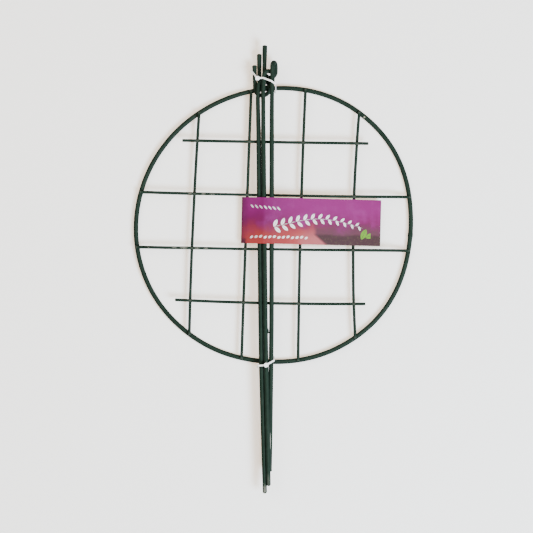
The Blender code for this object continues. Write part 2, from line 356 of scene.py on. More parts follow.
    def _upright_ends(self, index: int) -> tuple[float, float]:
        """Return the heights of an upright's lower and upper end."""
        bottom, _, top = self.uprights[index]
        return self.hoop_y(bottom, -1) - self.upright_overrun, self.hoop_y(top, 1) + self.upright_overrun

    def upright_line(self, index: int, count: int = 160) -> Line:
        """Return an upright's centre line, from its lower weld to its upper weld.

        Args:
            index: Which upright, from 0 at the left.
            count: How many points.

        Returns:
            The points.
        """
        low, high = self._upright_ends(index)
        line = []
        for part in range(count):
            share = part / (count - 1)
            x = through(self.uprights[index], share)
            line.append(Vector((x, low + (high - low) * share, self.upright_z)))
        return line

    def upright_x(self, index: int, y: float) -> float:
        """Return an upright's sideways place at a height."""
        low, high = self._upright_ends(index)
        return through(self.uprights[index], (y - low) / (high - low))

    def crossbar_line(self, index: int, count: int = 190) -> Line:
        """Return a crossbar's centre line, pressed down onto the hoop where it is long.

        Args:
            index: Which crossbar, from 0 at the top.
            count: How many points.

        Returns:
            The points.
        """
        plan = self.crossbars[index][1]
        short = index in SHORT_BARS
        if short:
            start = self.upright_x(0, plan[0]) - self.overhang_left
            end = self.upright_x(3, plan[2]) + self.overhang_right
        else:
            start = self.hoop_x(plan[0], -1) - self.bar_overrun
            end = self.hoop_x(plan[2], 1) + self.bar_overrun
        reach = self.hoop_wire / 2 + self.bar_overrun + self.joggle_land
        line = []
        for part in range(count):
            share = part / (count - 1)
            x = start + (end - start) * share
            ramp = min(1.0, max(0.0, (min(x - start, end - x) - reach) / self.joggle_length))
            drop = 0.0 if short else 1 - ramp * ramp * (3 - 2 * ramp)
            z = self.crossbar_z - drop * (self.crossbar_z - self.upright_z)
            line.append(Vector((x, through(plan, share), z)))
        return line

    def crossbar_y(self, index: int, x: float) -> float:
        """Return a crossbar's height at a sideways place."""
        return min(self.crossbar_line(index, 60), key=lambda point: abs(point.x - x)).y

    @cached_property
    def bends(self) -> dict[str, Bend]:
        """Return the three stakes by the names of their solids."""
        d = self.leg_wire
        top = self.hoop_y(self.bundle_top, 1)
        tip_y = self.hoop_y(self.bundle_bottom, -1) - self.stake_reach
        low, middle, high = self.stake_z, self.stake_z + 0.75 * d, self.stake_z + 1.55 * d
        hook = self.hook_z
        return {
            "leg_left": Bend(
                tip=Vector((self.bundle_bottom - 0.92 * d, tip_y - self.left_drop, low)),
                bend=Vector((self.bundle_middle - 1.18 * d, self.stake_bend, low)),
                base=Vector((self.bundle_top - 1.19 * d, top - 2.10 * d, low)),
                arch=top + 1.72 * d,
                cradle=top - 1.51 * d,
                tail_length=0.0429,
                limb=(2.62 * d, hook + 0.12 * d),
                tail=(-0.57 * d, hook + 0.36 * d),
                lean=0.21 * d,
                tail_lean=-0.21 * d,
            ),
            "leg_middle": Bend(
                tip=Vector((self.bundle_bottom, tip_y, low + 0.54 * d)),
                bend=Vector((self.bundle_middle, self.stake_bend, low + 0.50 * d)),
                base=Vector((self.bundle_top, top - 0.73 * d, middle)),
                arch=top + 3.95 * d,
                cradle=top + 0.22 * d,
                tail_length=0.0481,
                limb=(2.17 * d, middle - 0.30 * d),
                tail=(-0.86 * d, hook + 0.02 * d),
                lean=0.25 * d,
                tail_lean=0.0,
            ),
            "leg_right": Bend(
                tip=Vector((self.bundle_bottom + 0.25 * d, tip_y + self.right_rise, hook + 0.41 * d)),
                bend=Vector((self.bundle_middle + 1.22 * d, self.stake_bend, low - 0.38 * d)),
                base=Vector((self.bundle_top + 1.98 * d, top - 4.83 * d, high)),
                arch=top + 5.86 * d,
                cradle=top + 2.55 * d,
                tail_length=0.0457,
                limb=(0.88 * d, hook + 0.32 * d),
                tail=(-1.69 * d, hook + 0.92 * d),
                lean=0.125 * d,
                tail_lean=0.107 * d,
            ),
        }

    def stake_line(self, name: str) -> Line:
        """Return a bent stake's centre line, from its tip to its tail's end.

        Args:
            name: The stake's solid.

        Returns:
            The points.
        """
        plan = self.bends[name]
        base = plan.base
        limb_x, limb_z = base.x + plan.limb[0], plan.limb[1]
        tail_x, tail_z = base.x + plan.tail[0], plan.tail[1]
        shoulder = Vector((base.x + plan.lean, plan.arch, base.z))
        crown = Vector((limb_x, plan.arch, limb_z))
        heel = Vector((limb_x, plan.cradle, limb_z))
        toe = Vector((tail_x, plan.cradle, tail_z))
        end = Vector((tail_x + plan.tail_lean, plan.cradle + plan.tail_length, tail_z))
        slack = 0.0001
        arch = min(self.arch_radius, (crown - shoulder).length / 2 - slack)
        turn = min((toe - heel).length / 2 - slack, plan.arch - plan.cradle - arch - 2 * slack)
        corners = [plan.tip, plan.bend, base, shoulder, crown, heel, toe, end]
        return filleted(corners, [0, 0.6, 0, arch, arch, turn, turn, 0], 0.0004)

    def stake_at(self, name: str, y: float) -> Vector:
        """Return where a stake's straight run passes a height.

        Args:
            name: The stake's solid.
            y: The height along Y.

        Returns:
            The point of its centre line.
        """
        plan = self.bends[name]
        if y < plan.bend.y:
            return plan.tip.lerp(plan.bend, (y - plan.tip.y) / (plan.bend.y - plan.tip.y))
        if y < plan.base.y:
            return plan.bend.lerp(plan.base, (y - plan.bend.y) / (plan.base.y - plan.bend.y))
        return Vector((plan.base.x, y, plan.base.z))

    def settled_line(self, name: str) -> Line:
        """Return a stake's coated centre line, leaning a little towards its neighbour.

        Args:
            name: The stake's solid.

        Returns:
            The points.
        """
        plan = self.bends[name]
        low, middle, high = dict(self.nudges)[name]
        hooks = self.bends["leg_left"].base.y - 0.01
        line = []
        for point in resampled(self.stake_line(name), 0.0005):
            if point.y < plan.bend.y:
                lean = low + (middle - low) * (point.y - plan.tip.y) / (plan.bend.y - plan.tip.y)
            else:
                lean = middle + (high - middle) * min(1.0, (point.y - plan.bend.y) / 0.06)
            fade = max(0.0, min(1.0, (hooks - point.y) / 0.04))
            line.append(point + Vector((lean * fade, 0, 0)))
        return line

    def slim_spot(self, reach: float) -> Swell:
        """Return where the coat is thinner, round the nested hooks."""
        place = Vector((self.bundle_top, self.hoop_y(self.bundle_top, 1) + 0.008, self.stake_z))
        return Swell(place - self.centre, reach, -1.35 * self.thick_coat)

    def full_spots(self, name: str) -> list[Swell]:
        """Return where a stake's coat is full again, at its tail's end and on the right arch.

        Args:
            name: The stake's solid.

        Returns:
            The swellings.
        """
        plan = self.bends[name]
        reach = dict(self.tail_reach)[name]
        spots = [Swell(self.stake_line(name)[-1] - self.centre, reach, 1.3 * self.thick_coat)]
        if name == "leg_right":
            crown = Vector((plan.base.x + plan.limb[0] / 2, plan.arch, (plan.base.z + plan.limb[1]) / 2))
            spots.append(Swell(crown - self.centre, 0.015, 1.2 * self.thick_coat))
        return spots

    def top_tie_line(self) -> Line:
        """Return the corners of the upper tie's loop, from its head and back to it."""
        d = self.leg_wire
        half = self.band_thickness / 2
        over = d / 2 + self.gap + half
        left, middle, right = self.bends.values()
        hoop = self.hoop_y(right.base.x, 1)
        tail_x = left.base.x + left.tail[0]
        edge = max(middle.base.x + middle.limb[0] + d / 2, right.base.x + d / 2)
        side = edge + self.gap + half + 0.0002
        clear = (self.hoop_wire + self.band_width) / 2
        head = Vector((tail_x + 0.0030, hoop + 0.0132, self.stake_z + over + 0.0004))
        return [
            head,
            Vector((middle.base.x, hoop + 0.0136, middle.base.z + over)),
            Vector((right.base.x - 0.0009, hoop + 0.0090, right.base.z + over + 0.0003)),
            Vector((side, hoop + clear + 0.0002, right.base.z + over - 0.0008)),
            Vector((side + 0.0003, hoop - clear - 0.0022, half)),
            Vector((tail_x + 0.45 * d, hoop + 0.0174, half)),
            Vector((tail_x - 1.06 * d, hoop + 0.0250, self.hook_z + 0.46 * d)),
            head,
        ]

    def bottom_tie_line(self) -> Line:
        """Return the corners of the lower tie's loop, from its head and back to it."""
        half = self.band_thickness / 2
        over = self.leg_wire / 2 + self.gap + half
        hoop = self.hoop_y(self.bundle_middle, -1)
        left, middle, right = (self.stake_at(name, hoop) for name in self.bends)
        clear = (self.hoop_wire + self.band_width) / 2
        head = Vector((middle.x, hoop - 0.0043, middle.z + over + 0.0001))
        return [
            head,
            Vector((right.x + over, hoop + 0.0022, right.z + over - 0.0010)),
            Vector((right.x + over + 0.0003, hoop + clear + 0.0021, half)),
            Vector((left.x - over - 0.0012, hoop - clear - 0.0030, half)),
            Vector((left.x - over, hoop - clear - 0.0010, left.z + over - 0.0006)),
            head,
        ]

    def card_corners(self) -> Line:
        """Return the corners of the sleeve's cross-section, from its fold round its front."""
        top_y = self.card_low_edge + self.card_height + 0.003
        over = self.leg_wire / 2 + self.gap + self.card_thickness / 2
        left, middle, right = (self.stake_at(name, top_y) for name in self.bends)
        skin = self.grid_wire / 2 + self.gap + self.card_thickness / 2
        back, front = self.upright_z - skin, self.upright_z + skin
        last_x = self.upright_x(3, self.card_low_edge + self.card_height / 2)
        crest = max(middle.z, right.z) + over + 0.0002
        end = self.card_left + self.card_width
        return [
            Vector((self.card_left, 0, back)),
            Vector((self.card_left, 0, self.upright_z + 0.0004)),
            Vector((left.x - 0.0017, 0, left.z + over + 0.0006)),
            Vector((middle.x - 0.0006, 0, crest)),
            Vector((right.x + 0.0014, 0, crest)),
            Vector((last_x, 0, front + 0.0008)),
            Vector((end, 0, back + 0.0018)),
            Vector((end, 0, back)),
        ]


# ---------------------------------------------------------------- meshes


def piece(name: str, mesh: bpy.types.Mesh, finish: bpy.types.Material) -> bpy.types.Object:
    """Make an object of a mesh and link it to the scene.

    Args:
        name: The piece's name.
        mesh: Its mesh.
        finish: Its material.

    Returns:
        The object.
    """
    made = bpy.data.objects.new(name, mesh)
    mesh.materials.append(finish)
    bpy.context.scene.collection.objects.link(made)
    return made


@dataclass(frozen=True)
class Mount:
    """Where a piece belongs: its body, its slot and the solid it stands for."""

    body: Body
    slot: Slot
    node: str = ""

    def dress(self, name: str, mesh: bpy.types.Mesh, finish: bpy.types.Material) -> None:
        """Make a visible piece of the part.

        Args:
            name: The piece's name.
            mesh: Its mesh.
            finish: Its material.
        """
        made = piece(name, mesh, finish)
        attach(made, self.body.value)
        if self.node:
            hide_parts(self.node)
        LOG.info("%s: %d faces", name, len(mesh.polygons))


def shape_mesh(name: str, shape: bmesh.types.BMesh) -> bpy.types.Mesh:
    """Turn a working mesh into a finished one, shaded smooth.

    Args:
        name: The mesh's name.
        shape: The working mesh, which is freed.

    Returns:
        The finished mesh.
    """
    bmesh.ops.recalc_face_normals(shape, faces=shape.faces)
    made = bpy.data.meshes.new(name)
    shape.to_mesh(made)
    shape.free()
    made.shade_smooth()
    return made


def join_rings(shape: bmesh.types.BMesh, first: Sequence, second: Sequence) -> None:
    """Join two rings of vertices by faces.

    Args:
        shape: The mesh to add to.
        first: The first ring.
        second: The second ring, with as many vertices.
    """
    for side in range(len(first)):
        after = (side + 1) % len(first)
        shape.faces.new((first[side], first[after], second[after], second[side]))


@dataclass
class Wire:
    """A round wire as a fine tube, with domed ends, flats and swellings."""

    line: Line
    diameter: float
    closed: bool = False
    sides: int = 20
    step: float = 0.0016
    domes: tuple[float, float] = (0.5, 0.5)
    flats: list[Flat] = field(default_factory=list)
    swells: list[Swell] = field(default_factory=list)
    waver: float = 0.0
    seed: float = 0.0

    def _spine(self) -> Line:
        """Return the centre line at even steps, with its slight handling waver."""
        points = resampled(self.line, self.step)
        if not self.waver:
            return points
        moved = []
        for index, point in enumerate(points):
            ends = min(1.0, min(index, len(points) - 1 - index) / 8)
            shake = noise.noise_vector(Vector((point.x, point.y, self.seed)) * 26.0)
            moved.append(point + Vector((shake.x, shake.y, 0)) * self.waver * ends)
        return moved

    def _rings(self) -> list[tuple[Vector, Vector, float]]:
        """Return the centre, direction and radius of each ring of the tube."""
        spine, radius = self._spine(), self.diameter / 2
        if self.closed:
            spine = spine[:-1]
            count = len(spine)
            ways = [(spine[(i + 1) % count] - spine[i - 1]).normalized() for i in range(count)]
            return [(point, way, radius) for point, way in zip(spine, ways)]
        last = len(spine) - 1
        ways = [(spine[min(i + 1, last)] - spine[max(i - 1, 0)]).normalized() for i in range(last + 1)]
        head, tail = (dome * radius for dome in self.domes)
        total = sum((b - a).length for a, b in zip(spine, spine[1:]))
        domes = [(1 - math.sin(turn), radius * math.cos(turn)) for turn in DOME_TURNS]
        rings = [(spine[0] + ways[0] * head * inward, ways[0], size) for inward, size in domes]
        travelled = 0.0
        for index, (point, way) in enumerate(zip(spine, ways)):
            if index:
                travelled += (point - spine[index - 1]).length
            if head * 1.01 < travelled < total - tail * 1.01:
                rings.append((point, way, radius))
        rings += [(spine[-1] - ways[-1] * tail * inward, ways[-1], size) for inward, size in reversed(domes)]
        return rings

    def _offset(self, centre: Vector, out: Vector, radius: float) -> Vector:
        """Return a surface point's offset from the centre line, after flats and swellings.

        Args:
            centre: The centre of its ring.
            out: The direction out of the wire.
            radius: The plain radius.

        Returns:
            The offset.
        """
        for swell in self.swells:
            share = (centre - swell.place).length / swell.reach
            if share < 1:
                radius += swell.height * (1 - share * share) ** 2
        offset = out * radius
        for flat in self.flats:
            share = (centre - flat.place).length / flat.reach
            rise = offset.dot(flat.facing) - radius + flat.depth * min(1.0, 2.2 * (1 - share))
            if share < 1 and rise > 0:
                offset -= flat.facing * rise
        return offset

    def mesh(self, name: str) -> bpy.types.Mesh:
        """Return the tube's mesh.

        Args:
            name: Its name.

        Returns:
            The mesh, shaded smooth.
        """
        shape = bmesh.new()
        rings = []
        across = Vector((0.013, 0.017, 1.0))
        for centre, way, radius in self._rings():
            across = (across - way * across.dot(way)).normalized()
            other = way.cross(across)
            ring = []
            for side in range(self.sides):
                turn = TAU * side / self.sides
                out = across * math.cos(turn) + other * math.sin(turn)
                ring.append(shape.verts.new(centre + self._offset(centre, out, radius)))
            rings.append(ring)
        for first, second in zip(rings, rings[1:]):
            join_rings(shape, first, second)
        if self.closed:
            join_rings(shape, rings[-1], rings[0])
        else:
            shape.faces.new(list(reversed(rings[0])))
            shape.faces.new(rings[-1])
        return shape_mesh(name, shape)


@dataclass
class Lump:
    """A small melted lump, such as a weld's bead or a run of coating."""

    centre: Vector
    size: Triple
    turn: float = 0.0
    roughness: float = 0.25
    seed: float = 0.0

    def add(self, shape: bmesh.types.BMesh) -> None:
        """Add the lump to a mesh.

        Args:
            shape: The mesh to add to.
        """
        spin = Matrix.Rotation(self.turn, 3, "Z") @ Matrix.Diagonal(self.size)
        shift = Vector((self.seed, self.seed * 0.7, 0))
        for vertex in bmesh.ops.create_icosphere(shape, subdivisions=3, radius=1.0)["verts"]:
            bump = noise.noise(vertex.co * 1.7 + shift) * self.roughness
            vertex.co = self.centre + spin @ (vertex.co * (1 + bump))


def lumps_mesh(name: str, lumps: Iterable[Lump]) -> bpy.types.Mesh:
    """Return one mesh of several lumps.

    Args:
        name: The mesh's name.
        lumps: The lumps.

    Returns:
        The mesh, shaded smooth.
    """
    shape = bmesh.new()
    for lump in lumps:
        lump.add(shape)
    return shape_mesh(name, shape)


# ---------------------------------------------------------------- shader building


class Graph:
    """A node tree with short ways to add and join nodes."""

    def __init__(self, tree: bpy.types.NodeTree) -> None:
        """Wrap a tree."""
        self.tree = tree

    def add(self, kind: str, *feeds: Feed, **settings: object) -> bpy.types.Node:
        """Add a node.

        Args:
            kind: The node's type.
            *feeds: What its inputs take, in their order.
            **settings: Its properties by name.

        Returns:
            The node.
        """
        node = self.tree.nodes.new(kind)
        for name, value in settings.items():
            setattr(node, name, value)
        for socket, value in zip(node.inputs, feeds):
            self.feed(socket, value)
        return node

    def feed(self, socket: Socket, value: Feed) -> None:
        """Join an input to an output, or set its number, vector or colour.

        Args:
            socket: The input.
            value: What it takes; a colour goes without its alpha.
        """
        if isinstance(value, bpy.types.NodeSocket):
            self.tree.links.new(value, socket)
        else:
            socket.default_value = (*value, 1) if socket.type == "RGBA" else value

    def fill(self, node: bpy.types.Node, **values: Feed) -> Sockets:
        """Feed a node's inputs by name, with _ for a space.

        Args:
            node: The node.
            **values: What its inputs take.

        Returns:
            Its outputs.
        """
        for name, value in values.items():
            self.feed(node.inputs[name.replace("_", " ")], value)
        return node.outputs

    def math(self, way: str, *values: Feed, clamp: bool = False) -> Socket:
        """Return the result of a math node.

        Args:
            way: Its operation.
            *values: What it works on.
            clamp: Whether the result is kept in 0 to 1.

        Returns:
            Its output.
        """
        return self.add("ShaderNodeMath", *values, operation=way, use_clamp=clamp).outputs[0]

    def times(self, first: Feed, *others: Feed) -> Feed:
        """Return the product of its values."""
        for other in others:
            first = self.math("MULTIPLY", first, other)
        return first

    def mix(self, share: Feed, first: Feed, second: Feed) -> Socket:
        """Return a mix of two colours.

        Args:
            share: Share of the second colour.
            first: First colour.
            second: Second colour.

        Returns:
            The mixed colour.
        """
        node = self.add("ShaderNodeMix", share, data_type="RGBA")
        self.feed(node.inputs[6], first)
        self.feed(node.inputs[7], second)
        return node.outputs[2]

    def remap(self, value: Feed, low: float, high: float) -> Socket:
        """Return a smooth step from 0 at the low value to 1 at the high one."""
        return self.add("ShaderNodeMapRange", value, low, high, interpolation_type="SMOOTHSTEP").outputs[0]

    def noise(self, place: Feed, scale: float, detail: float = 3.0, roughness: float = 0.55) -> Socket:
        """Return a noise.

        Args:
            place: Where it is read.
            scale: Its scale, in features a metre.
            detail: Its octaves.
            roughness: The weight of its fine octaves.

        Returns:
            Its value.
        """
        node = self.add("ShaderNodeTexNoise")
        return self.fill(node, Vector=place, Scale=scale, Detail=detail, Roughness=roughness)["Fac"]

    def split(self, vector: Feed) -> Sockets:
        """Return the X, Y and Z of a vector."""
        return self.add("ShaderNodeSeparateXYZ", vector).outputs

    def facing_up(self) -> Socket:
        """Return how far the surface faces up."""
        return self.split(self.add("ShaderNodeNewGeometry").outputs["Normal"])["Z"]

    def bump(self, height: Feed, strength: float, distance: float) -> Socket:
        """Return the normal of a bumpy surface."""
        node = self.add("ShaderNodeBump")
        return self.fill(node, Height=height, Strength=strength, Distance=distance)["Normal"]

    def group(self, tree: bpy.types.NodeTree, **values: Feed) -> Sockets:
        """Place a node group, feed its inputs by name and return its outputs."""
        return self.fill(self.add("ShaderNodeGroup", node_tree=tree), **values)


def new_group(
    name: str, results: Iterable[str], **inputs: float | Triple
) -> tuple[Graph, Sockets, Sockets]:
    """Start a shader node group.

    Args:
        name: The group's name.
        results: The names of its outputs, all of them numbers.
        **inputs: Its inputs' default values, numbers or vectors.

    Returns:
        Its graph, what its inputs give and what its outputs take.
    """
    tree = bpy.data.node_groups.new(name, "ShaderNodeTree")
    for label, value in inputs.items():
        kind = "NodeSocketVector" if isinstance(value, tuple) else "NodeSocketFloat"
        tree.interface.new_socket(label, in_out="INPUT", socket_type=kind).default_value = value
    for label in results:
        tree.interface.new_socket(label, in_out="OUTPUT", socket_type="NodeSocketFloat")
    graph = Graph(tree)
    return graph, graph.add("NodeGroupInput").outputs, graph.add("NodeGroupOutput").inputs


def new_material(name: str) -> tuple[bpy.types.Material, Graph, bpy.types.Node, Socket]:
    """Start a material.

    Args:
        name: The material's name.

    Returns:
        The material, its graph, its Principled BSDF and the place on the object.
    """
    made = bpy.data.materials.new(name)
    made.use_nodes = True
    graph = Graph(made.node_tree)
    place = graph.add("ShaderNodeTexCoord").outputs["Object"]
    return made, graph, made.node_tree.nodes["Principled BSDF"], place


class Effects:
    """The shader effects that more than one finish uses, each a node group."""

    def __init__(self) -> None:
        """Build the groups."""
        self.spot = self._spot()
        self.skin = self._skin()
        self.dust = self._dust()

    def _spot(self) -> bpy.types.NodeTree:
        """Return the group that marks a ragged spot, such as a chip."""
        graph, given, result = new_group(
            "ragged_spot", ["Mask"], Place=ORIGIN, Centre=ORIGIN, Stretch=EVEN, Radius=0.002
        )
        apart = graph.add("ShaderNodeVectorMath", given["Place"], given["Centre"], operation="SUBTRACT")
        drawn = graph.add("ShaderNodeVectorMath", apart.outputs[0], given["Stretch"], operation="DIVIDE")
        far = graph.add("ShaderNodeVectorMath", drawn.outputs[0], operation="LENGTH").outputs["Value"]
        ragged = graph.math("MULTIPLY_ADD", graph.noise(given["Place"], 900), 0.9, -0.45)
        away = graph.math("ADD", graph.math("DIVIDE", far, given["Radius"]), ragged)
        graph.feed(result["Mask"], graph.remap(away, 1.0, 0.8))
        return graph.tree

    def _skin(self) -> bpy.types.NodeTree:
        """Return the group that mottles a coated or moulded skin and makes it uneven."""
        graph, given, result = new_group(
            "uneven_skin", ["Tone", "Height"], Place=ORIGIN, Cloud=0.5, Speck=0.2, Peel=0.5
        )
        place = given["Place"]
        cloud = graph.times(graph.noise(place, 46, 4), given["Cloud"])
        speck = graph.times(graph.remap(graph.noise(place, 620, 2), 0.52, 0.72), given["Speck"])
        graph.feed(result["Tone"], graph.math("ADD", cloud, speck, clamp=True))
        peel = graph.times(graph.noise(place, 420, 2), given["Peel"])
        sand = graph.times(graph.noise(place, 1500, 2), 0.25)
        graph.feed(result["Height"], graph.math("ADD", peel, sand))
        return graph.tree

    def _dust(self) -> bpy.types.NodeTree:
        """Return the group that marks where dust and scuffs lie on a surface's front."""
        graph, given, result = new_group("resting_dust", ["Mask"], Place=ORIGIN, Amount=0.3)
        front = graph.remap(graph.facing_up(), 0.1, 0.95)
        patch = graph.remap(graph.noise(given["Place"], 120, 5, 0.7), 0.45, 0.75)
        graph.feed(result["Mask"], graph.times(front, patch, given["Amount"]))
        return graph.tree


# ---------------------------------------------------------------- finishes


@dataclass(frozen=True)
class Chip:
    """A pale spot on a coat, and how bare it is there: a chip, a cut or a rub, some also a painted highlight.
    """

    centre: Sequence[float]
    radius: float
    stretch: Triple = EVEN
    share: float = 1.0


@dataclass(frozen=True)
class Coating:
    """The wires' dark green coat over pale steel, and where it is worn."""

    name: str
    dark: Triple = (0.0056, 0.0138, 0.0090)
    light: Triple = (0.0170, 0.0335, 0.0232)
    dusty: Triple = (0.042, 0.058, 0.046)
    bare: Triple = (0.23, 0.235, 0.19)
    tarnish: Triple = (0.10, 0.092, 0.078)
    roughness: float = 0.42
    chips: tuple[Chip, ...] = ()
    worn_below: float | None = None
    worn_reach: float = 0.02
    worn_share: float = 0.75

    def material(self, effects: Effects) -> bpy.types.Material:
        """Return the coat's material.

        Args:
            effects: The shared effects.

        Returns:
            The material.
        """
        made, graph, shader, place = new_material(self.name)
        skin = graph.group(effects.skin, Place=place, Cloud=0.85, Speck=0.30, Peel=0.6)
        dust = graph.group(effects.dust, Place=place, Amount=0.18)
        coat = graph.mix(dust["Mask"], graph.mix(skin["Tone"], self.dark, self.light), self.dusty)
        worn: Feed = 0.0
        for chip in self.chips:
            spot = graph.group(
                effects.spot, Place=place, Centre=chip.centre, Stretch=chip.stretch, Radius=chip.radius
            )
            worn = graph.math("MAXIMUM", worn, graph.times(spot["Mask"], chip.share))
        if self.worn_below is not None:
            patch = graph.math("SUBTRACT", graph.noise(place, 260, 5, 0.7), 0.5)
            along = graph.math("MULTIPLY_ADD", patch, self.worn_reach * 2.2, graph.split(place)["Y"])
            tip = graph.remap(along, self.worn_below, self.worn_below - self.worn_reach)
            front = graph.remap(graph.facing_up(), 0.70, 0.97)
            worn = graph.math("MAXIMUM", worn, graph.times(tip, front, self.worn_share))
        steel = graph.mix(graph.noise(place, 800, 4), self.bare, self.tarnish)
        rough = graph.math("MULTIPLY_ADD", skin["Tone"], 0.16, self.roughness)
        height = graph.math("MULTIPLY_ADD", worn, -0.4, skin["Height"])
        graph.fill(
            shader,
            Base_Color=graph.mix(worn, coat, steel),
            Roughness=graph.math("MAXIMUM", rough, graph.times(worn, 0.7)),
            Normal=graph.bump(height, 0.35, 0.0004),
            Specular_IOR_Level=0.06,
        )
        return made


@dataclass(frozen=True)
class Nylon:
    """The ties' milky white nylon."""

    name: str = "tie_nylon"
    bright: Triple = (0.94, 0.94, 0.93)
    shade: Triple = (0.86, 0.86, 0.84)
    glow: Triple = (1.0, 1.0, 0.98)

    def material(self, effects: Effects) -> bpy.types.Material:
        """Return the nylon's material.

        Args:
            effects: The shared effects.

        Returns:
            The material.
        """
        made, graph, shader, place = new_material(self.name)
        skin = graph.group(effects.skin, Place=place, Cloud=0.5, Speck=0.12, Peel=0.4)
        graph.fill(
            shader,
            Base_Color=graph.mix(skin["Tone"], self.bright, self.shade),
            Roughness=graph.math("MULTIPLY_ADD", skin["Tone"], 0.2, 0.32),
            Normal=graph.bump(skin["Height"], 0.2, 0.0002),
            Subsurface_Weight=0.15,
            Subsurface_Radius=(0.001, 0.001, 0.001),
            # Painted glow: the nylon emits a little light, which lifts its white in shade too.
            Emission_Color=self.glow,
            Emission_Strength=0.45,
        )
        return made


@dataclass(frozen=True)
class Leaf:
    """One printed leaf: its middle, direction and size, in metres on the card."""

    x: float
    y: float
    turn: float
    length: float
    width: float


@dataclass(frozen=True)
class Print:
    """The sleeve's print: clouded purple over coral and plum, with a sprig of leaves."""

    name: str = "sleeve_print"
    size: tuple[float, float] = (0.1963, 0.0650)
    purple: Triple = (0.2, 0.0089, 0.125)
    orchid: Triple = (0.2444, 0.0278, 0.1722)
    deep: Triple = (0.1389, 0.0078, 0.0639)
    coral: Triple = (0.3556, 0.0417, 0.0367)
    blush: Triple = (0.435, 0.118, 0.118)
    plum: Triple = (0.074, 0.027, 0.045)
    soil: Triple = (0.030, 0.0165, 0.0155)
    moss: Triple = (0.0667, 0.0472, 0.0278)
    lime: Triple = (0.1222, 0.2889, 0.0194)
    white: Triple = (0.90, 0.88, 0.88)
    shadow: Triple = (0.02, 0.002, 0.012)
    # Painted shade for the card's left fold.
    fold_shade: Triple = (0.072, 0.011, 0.044)
    board: tuple[Triple, Triple] = ((0.56, 0.54, 0.50), (0.66, 0.64, 0.60))
    leaves: tuple[Leaf, ...] = ()
    accents: tuple[Leaf, ...] = ()

    def _leaf_group(self) -> bpy.types.NodeTree:
        """Return the group that marks one pointed leaf with a midrib."""
        graph, given, result = new_group(
            "printed_leaf", ["Mask"], Place=ORIGIN, Centre=ORIGIN, Turn=0.0, Length=0.01, Width=0.004
        )
        apart = graph.add("ShaderNodeVectorMath", given["Place"], given["Centre"], operation="SUBTRACT")
        spin = graph.add("ShaderNodeVectorRotate", apart.outputs[0], rotation_type="Z_AXIS")
        graph.feed(spin.inputs["Angle"], graph.times(given["Turn"], -1.0))
        parts = graph.split(spin.outputs[0])
        along = graph.math("DIVIDE", parts["X"], given["Length"])
        room = graph.math("SUBTRACT", 1.0, graph.times(along, along))
        wide = graph.times(graph.math("MAXIMUM", room, 0.0), given["Width"])
        away = graph.math("ABSOLUTE", parts["Y"])
        inside = graph.remap(graph.math("SUBTRACT", wide, away), 0.0, 0.00025)
        graph.feed(result["Mask"], graph.times(inside, graph.remap(away, 0.00012, 0.0003)))
        return graph.tree

    def material(self) -> bpy.types.Material:
        """Return the printed card's material.

        Returns:
            The material.
        """
        made, graph, shader, _ = new_material(self.name)
        place = graph.add("ShaderNodeAttribute", attribute_name="sheet_place").outputs["Vector"]
        lining = graph.add("ShaderNodeAttribute", attribute_name="board_side").outputs["Fac"]
        parts = graph.split(place)
        across, up = (
            graph.math("ADD", graph.math("DIVIDE", parts[axis], size), 0.5)
            for axis, size in zip("XY", self.size)
        )
        cloud = graph.noise(place, 42, 4)
        soft = graph.times(graph.math("SUBTRACT", cloud, 0.5), 0.5)
        high, right = graph.math("ADD", up, soft), graph.math("ADD", across, soft)
        edge = graph.math("MULTIPLY_ADD", graph.math("MINIMUM", up, 0.22), 0.40, across)
        dusk = graph.times(graph.remap(edge, 0.595, 0.635), graph.remap(high, 0.52, 0.26))
        ground = graph.remap(graph.math("MULTIPLY_ADD", soft, 0.25, up), 0.25, 0.18)
        grass = graph.remap(graph.noise(place, 260, 4, 0.7), 0.50, 0.66)
        base: Feed = self.deep
        for colour, *shares in (
            (self.purple, graph.remap(high, 0.30, 0.80)),
            (self.orchid, graph.remap(cloud, 0.45, 0.75), 0.6),
            (self.coral, graph.remap(right, 0.72, 0.40), graph.remap(high, 0.55, 0.12)),
            (self.blush, graph.remap(right, 0.30, 0.54), graph.remap(high, 0.42, 0.10), 0.85),
            (self.plum, dusk, 0.9),
            (self.soil, ground, dusk, 0.85),
            (self.moss, grass, dusk, graph.remap(up, 0.30, 0.12), 0.8),
            # Darker towards the lower left corner.
            (self.soil, graph.remap(right, 0.075, 0.02), graph.remap(high, 0.14, 0.04), 0.85),
            # Painted shade just right of the card's crest, fading out towards its middle.
            (self.shadow, graph.remap(across, 0.46, 0.17), graph.remap(across, 0.143, 0.172), 0.22),
            # Painted shade along the left fold, darkest at the fold.
            (self.fold_shade, graph.remap(across, 0.060, 0.0), 0.55),
            (self.deep, graph.remap(graph.noise(place, 1100, 2), 0.40, 0.62), 0.16),
        ):
            base = graph.mix(graph.times(*shares), base, colour)
        front = graph.remap(parts["Z"], 0.4, 0.6)
        leaf = self._leaf_group()
        for marks, ink in ((self.accents, self.lime), (self.leaves, self.white)):
            inked: Feed = 0.0
            for mark in marks:
                drawn = graph.group(
                    leaf,
                    Place=place,
                    Centre=(mark.x, mark.y, 0),
                    Turn=mark.turn,
                    Length=mark.length,
                    Width=mark.width,
                )
                inked = graph.math("MAXIMUM", inked, drawn["Mask"])
            base = graph.mix(graph.times(inked, front), base, ink)
        fibre = graph.noise(place, 1300)
        graph.fill(
            shader,
            Base_Color=graph.mix(lining, base, graph.mix(graph.noise(place, 900), *self.board)),
            Roughness=graph.math("MULTIPLY_ADD", fibre, 0.15, 0.42),
            Normal=graph.bump(graph.math("ADD", fibre, graph.noise(place, 60)), 0.12, 0.0002),
            Specular_IOR_Level=0.15,
        )
        return made


# ---------------------------------------------------------------- the pieces


